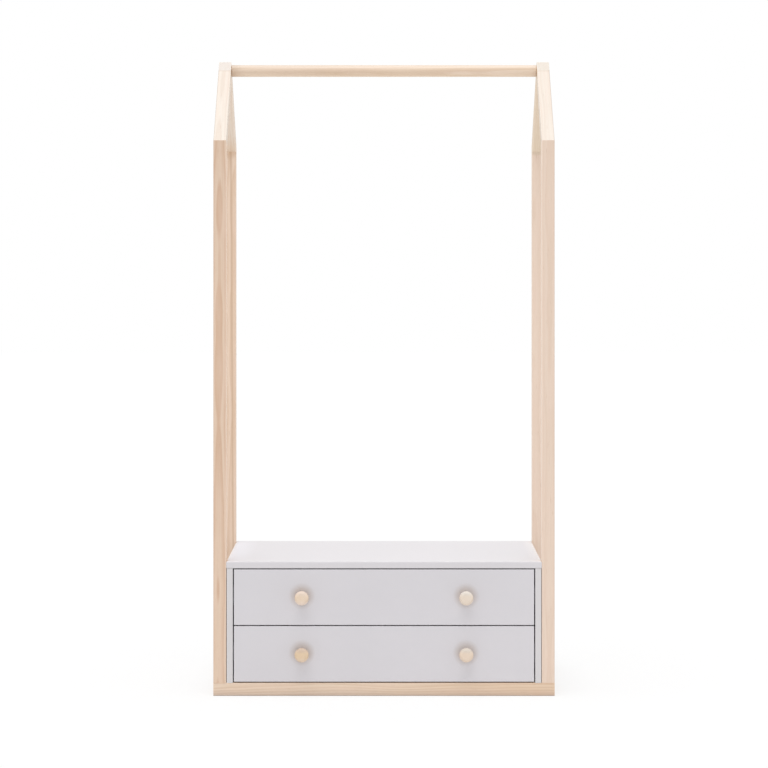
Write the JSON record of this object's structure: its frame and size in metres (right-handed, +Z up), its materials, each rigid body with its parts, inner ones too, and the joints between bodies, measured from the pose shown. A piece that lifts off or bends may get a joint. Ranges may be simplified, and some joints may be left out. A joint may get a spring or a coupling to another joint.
{
  "type": "wardrobe",
  "caption": "Child's wardrobe shaped like a house: square pine posts and gable rafters carry a round hanging rail over a white cabinet with drawers on telescopic runners.",
  "frame": {"origin": "on the floor at the middle of the base, half way between the knobs' faces and the back of the frame", "axes": "+X to the right of someone facing the drawers, +Y to the back (the drawers face -Y), +Z up"},
  "size_m": [0.9, 0.473, 1.6875],
  "materials": {
    "pine": "pale solid pine with fine straight grain, clear matt lacquer, softened arrises",
    "white_lacquer": "smooth white lacquered board, satin",
    "drawer_board": "white laminated board, satin",
    "hardboard": "thin white painted hardboard",
    "beech": "fluted beech dowel, untreated",
    "turned_knob": "turned pale wood, clear matt lacquer",
    "zinc_steel": "bright zinc-plated steel",
    "runner_steel": "zinc-plated rolled steel",
    "cage_steel": "bare steel strip, lightly greased",
    "cast_zinc": "die-cast zinc"
  },
  "bodies": {
    "frame": {"front_left_post": "pine", "front_left_rafter": "pine", "back_left_post": "pine", "back_left_rafter": "pine", "left_base_rail": "pine", "cabinet_left_side": "white_lacquer", "front_right_post": "pine", "front_right_rafter": "pine", "back_right_post": "pine", "back_right_rafter": "pine", "right_base_rail": "pine", "cabinet_right_side": "white_lacquer", "front_base_rail": "pine", "back_base_rail": "pine", "hanging_rail": "pine", "cabinet_top": "white_lacquer", "cabinet_bottom": "white_lacquer", "cabinet_back": "hardboard", "frame_dowels": "beech", "cabinet_dowels": "beech", "frame_bolts": "zinc_steel", "barrel_nuts": "zinc_steel", "cabinet_cam_bolts": "zinc_steel", "cabinet_screws": "zinc_steel", "cabinet_runner_screws": "zinc_steel", "cabinet_cam_locks": "cast_zinc", "lower_left_cabinet_runner": "runner_steel", "lower_right_cabinet_runner": "runner_steel", "upper_left_cabinet_runner": "runner_steel", "upper_right_cabinet_runner": "runner_steel"},
    "lower_drawer": {"lower_drawer_front": "white_lacquer", "lower_drawer_left_side": "drawer_board", "lower_drawer_right_side": "drawer_board", "lower_drawer_back": "drawer_board", "lower_drawer_bottom": "hardboard", "lower_drawer_dowels": "beech", "lower_left_knob": "turned_knob", "lower_right_knob": "turned_knob", "lower_knob_screws": "zinc_steel", "lower_left_drawer_runner": "runner_steel", "lower_right_drawer_runner": "runner_steel", "lower_drawer_runner_screws": "zinc_steel"},
    "lower_middle_runners_pair": {"lower_middle_runners": "runner_steel"},
    "lower_outer_cages_pair": {"lower_outer_cages": "cage_steel"},
    "lower_inner_cages_pair": {"lower_inner_cages": "cage_steel"},
    "upper_drawer": {"upper_drawer_front": "white_lacquer", "upper_drawer_left_side": "drawer_board", "upper_drawer_right_side": "drawer_board", "upper_drawer_back": "drawer_board", "upper_drawer_bottom": "hardboard", "upper_drawer_dowels": "beech", "upper_left_knob": "turned_knob", "upper_right_knob": "turned_knob", "upper_knob_screws": "zinc_steel", "upper_left_drawer_runner": "runner_steel", "upper_right_drawer_runner": "runner_steel", "upper_drawer_runner_screws": "zinc_steel"},
    "upper_middle_runners_pair": {"upper_middle_runners": "runner_steel"},
    "upper_outer_cages_pair": {"upper_outer_cages": "cage_steel"},
    "upper_inner_cages_pair": {"upper_inner_cages": "cage_steel"}
  },
  "joints": [
    {"name": "lower_drawer_slide", "type": "slide", "parent": "frame", "child": "lower_drawer", "axis": [0, -1, 0], "range_m": [0, 0.39]},
    {"name": "lower_middle_runners_slide", "type": "slide", "parent": "frame", "child": "lower_middle_runners_pair", "axis": [0, -1, 0], "range_m": [0, 0.195]},
    {"name": "lower_outer_cages_slide", "type": "slide", "parent": "frame", "child": "lower_outer_cages_pair", "axis": [0, -1, 0], "range_m": [0, 0.0975]},
    {"name": "lower_inner_cages_slide", "type": "slide", "parent": "frame", "child": "lower_inner_cages_pair", "axis": [0, -1, 0], "range_m": [0, 0.2925]},
    {"name": "upper_drawer_slide", "type": "slide", "parent": "frame", "child": "upper_drawer", "axis": [0, -1, 0], "range_m": [0, 0.39]},
    {"name": "upper_middle_runners_slide", "type": "slide", "parent": "frame", "child": "upper_middle_runners_pair", "axis": [0, -1, 0], "range_m": [0, 0.195]},
    {"name": "upper_outer_cages_slide", "type": "slide", "parent": "frame", "child": "upper_outer_cages_pair", "axis": [0, -1, 0], "range_m": [0, 0.0975]},
    {"name": "upper_inner_cages_slide", "type": "slide", "parent": "frame", "child": "upper_inner_cages_pair", "axis": [0, -1, 0], "range_m": [0, 0.2925]}
  ],
  "couplings": [
    {"joint": "lower_middle_runners_slide", "follows": "lower_drawer_slide", "ratio": 0.5},
    {"joint": "lower_outer_cages_slide", "follows": "lower_drawer_slide", "ratio": 0.25},
    {"joint": "lower_inner_cages_slide", "follows": "lower_drawer_slide", "ratio": 0.75},
    {"joint": "upper_middle_runners_slide", "follows": "upper_drawer_slide", "ratio": 0.5},
    {"joint": "upper_outer_cages_slide", "follows": "upper_drawer_slide", "ratio": 0.25},
    {"joint": "upper_inner_cages_slide", "follows": "upper_drawer_slide", "ratio": 0.75}
  ]
}
